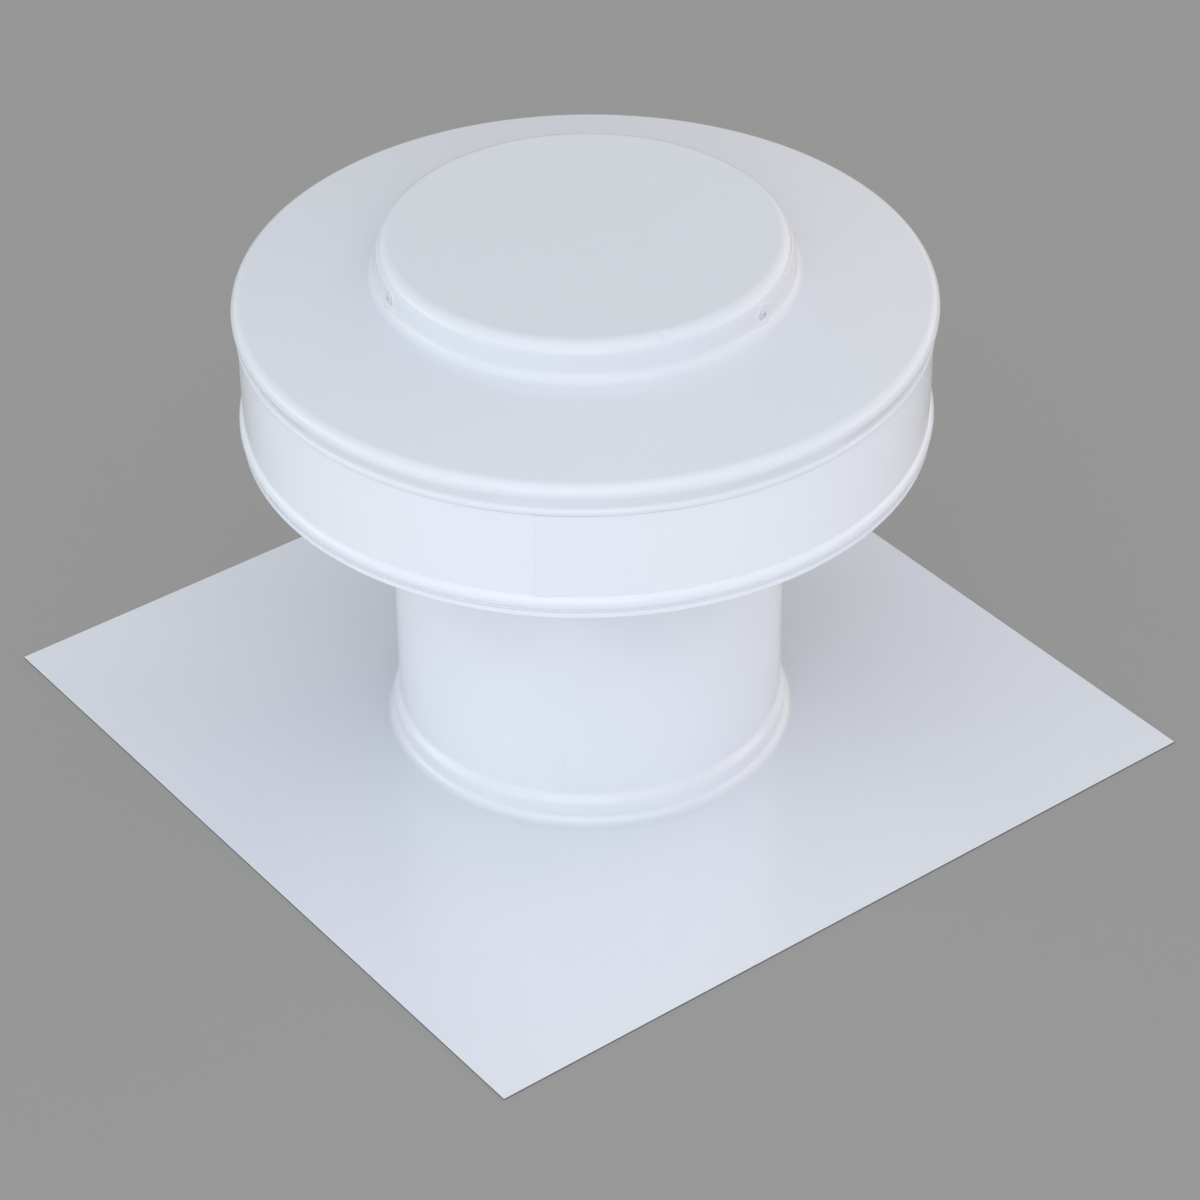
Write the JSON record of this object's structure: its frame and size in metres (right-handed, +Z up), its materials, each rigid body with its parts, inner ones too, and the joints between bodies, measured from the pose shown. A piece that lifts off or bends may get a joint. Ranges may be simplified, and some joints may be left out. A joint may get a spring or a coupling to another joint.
{
  "type": "static roof vent",
  "caption": "Static roof vent: square flashing with drawn collar, round neck tube and a round mushroom cap held above it on riveted brackets; passive exhaust for attic air.",
  "frame": {"origin": "centre of the square flashing's underside, on the neck's axis", "axes": "+Z up along the neck's axis; X and Y along the sides of the square flashing"},
  "size_m": [0.4444, 0.4444, 0.2946],
  "materials": {
    "flashing_paint": "glossy white powder coat on aluminium sheet",
    "neck_paint": "glossy white powder coat on aluminium sheet",
    "band_paint": "glossy white powder coat on aluminium sheet",
    "lid_paint": "glossy white powder coat on spun aluminium",
    "bracket_metal": "plain mill aluminium strip",
    "rivet_paint": "white painted aluminium rivet",
    "rivet_metal": "plain aluminium blind rivet"
  },
  "bodies": {
    "root": {"base_flashing": "flashing_paint", "neck_tube": "neck_paint", "cap_band": "band_paint", "cap_lid": "lid_paint", "bracket_left": "bracket_metal", "bracket_back": "bracket_metal", "bracket_right": "bracket_metal", "crown_rivet_left": "rivet_paint", "crown_rivet_back": "rivet_paint", "crown_rivet_right": "rivet_paint", "neck_rivet_left": "rivet_metal", "neck_rivet_back": "rivet_metal", "neck_rivet_right": "rivet_metal"}
  },
  "joints": []
}
